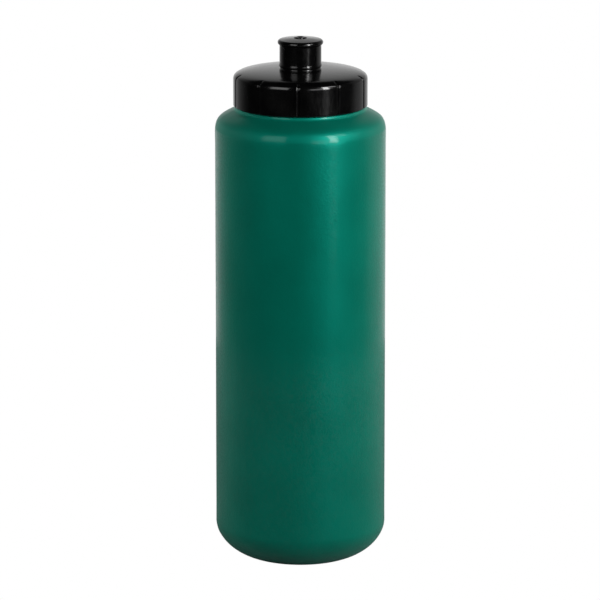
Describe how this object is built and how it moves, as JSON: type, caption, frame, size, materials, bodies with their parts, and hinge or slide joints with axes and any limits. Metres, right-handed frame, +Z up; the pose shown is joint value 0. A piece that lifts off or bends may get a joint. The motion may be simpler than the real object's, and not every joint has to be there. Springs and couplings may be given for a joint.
{
  "type": "sports squeeze bottle",
  "caption": "Tall round squeeze bottle with a wide threaded neck, a grooved screw cap and a push-pull drinking spout.",
  "frame": {"origin": "centre of the base, on the plane that the foot ring stands on", "axes": "+Z up along the bottle's axis of symmetry, towards the spout; +X and +Y are free, because only the cap's grooves and the threads tell them apart"},
  "size_m": [0.082, 0.082, 0.2553],
  "materials": {
    "bottle": "satin green polyethylene with a soft sheen and faint handling marks",
    "cap": "glossy black polypropylene",
    "spout": "glossy black polyethylene",
    "gasket": "matte grey sealing rubber"
  },
  "bodies": {
    "bottle": {"bottle": "bottle"},
    "sealing_ring": {"cap_gasket": "gasket"},
    "cap": {"screw_cap": "cap"},
    "spout": {"pull_spout": "spout"}
  },
  "joints": [
    {"name": "cap_lift", "type": "slide", "parent": "bottle", "child": "sealing_ring", "axis": [0, 0, 1], "range_m": [0, 0.0155]},
    {"name": "cap_turn", "type": "hinge", "parent": "sealing_ring", "child": "cap", "pos_m": [0, 0, 0.228], "axis": [0, 0, 1], "range_deg": [0, 1320]},
    {"name": "spout_pull", "type": "slide", "parent": "cap", "child": "spout", "axis": [0, 0, 1], "range_m": [0, 0.006]}
  ],
  "couplings": [
    {"joint": "cap_lift", "follows": "cap_turn", "m_per_rad": 0.00066845}
  ]
}
